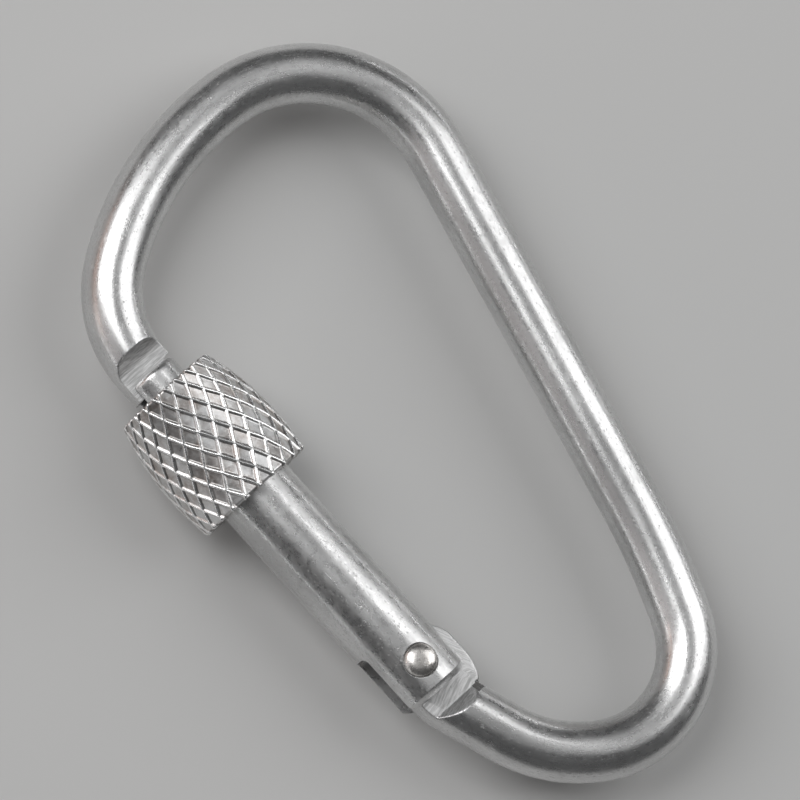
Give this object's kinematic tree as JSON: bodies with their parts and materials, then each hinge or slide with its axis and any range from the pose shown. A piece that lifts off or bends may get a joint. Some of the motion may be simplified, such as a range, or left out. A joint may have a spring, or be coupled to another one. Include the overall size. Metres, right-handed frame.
{
  "type": "carabiner keyring",
  "caption": "Screw-lock carabiner keyring: bent rod body, sprung hinged gate on a rivet and a knurled barrel collar that slides over the nose to lock it.",
  "frame": {"origin": "centre of the overall box on its lowest plane, the underside of the collar", "axes": "+X along the straight spine from the large end to the hinge end, +Y from the gate side to the spine side, +Z through the thickness"},
  "size_m": [0.0803, 0.0439, 0.0135],
  "materials": {
    "frame": "polished rod, faint lengthwise draw marks",
    "gate": "polished, scuffed",
    "collar": "bright, diamond knurled",
    "hinge_rivet": "nickel plated dome",
    "gate_spring": "bright spring wire",
    "plunger": "turned"
  },
  "bodies": {
    "body": {"frame": "frame"},
    "gate_arm": {"gate": "gate", "hinge_rivet": "hinge_rivet", "gate_spring": "gate_spring"},
    "lock_collar": {"collar": "collar"},
    "spring_plunger": {"plunger": "plunger"}
  },
  "joints": [
    {"name": "gate_hinge", "type": "hinge", "parent": "body", "child": "gate_arm", "pos_m": [0.02061, -0.00806, 0.00675], "axis": [0, 0, -1], "range_deg": [0, 26], "stiffness_Nm_per_rad": 0.1, "springref_deg": -57.3, "deforming": ["gate_spring"]},
    {"name": "collar_travel", "type": "slide", "parent": "gate_arm", "child": "lock_collar", "axis": [0.9709, 0.2394, 0], "range_m": [-0.005, 0.006]},
    {"name": "plunger_travel", "type": "slide", "parent": "gate_arm", "child": "spring_plunger", "axis": [-0.9709, -0.2394, 0], "range_m": [0, 0.0006]}
  ],
  "couplings": [
    {"joint": "plunger_travel", "follows": "gate_hinge", "m_per_rad": 0.001056}
  ]
}
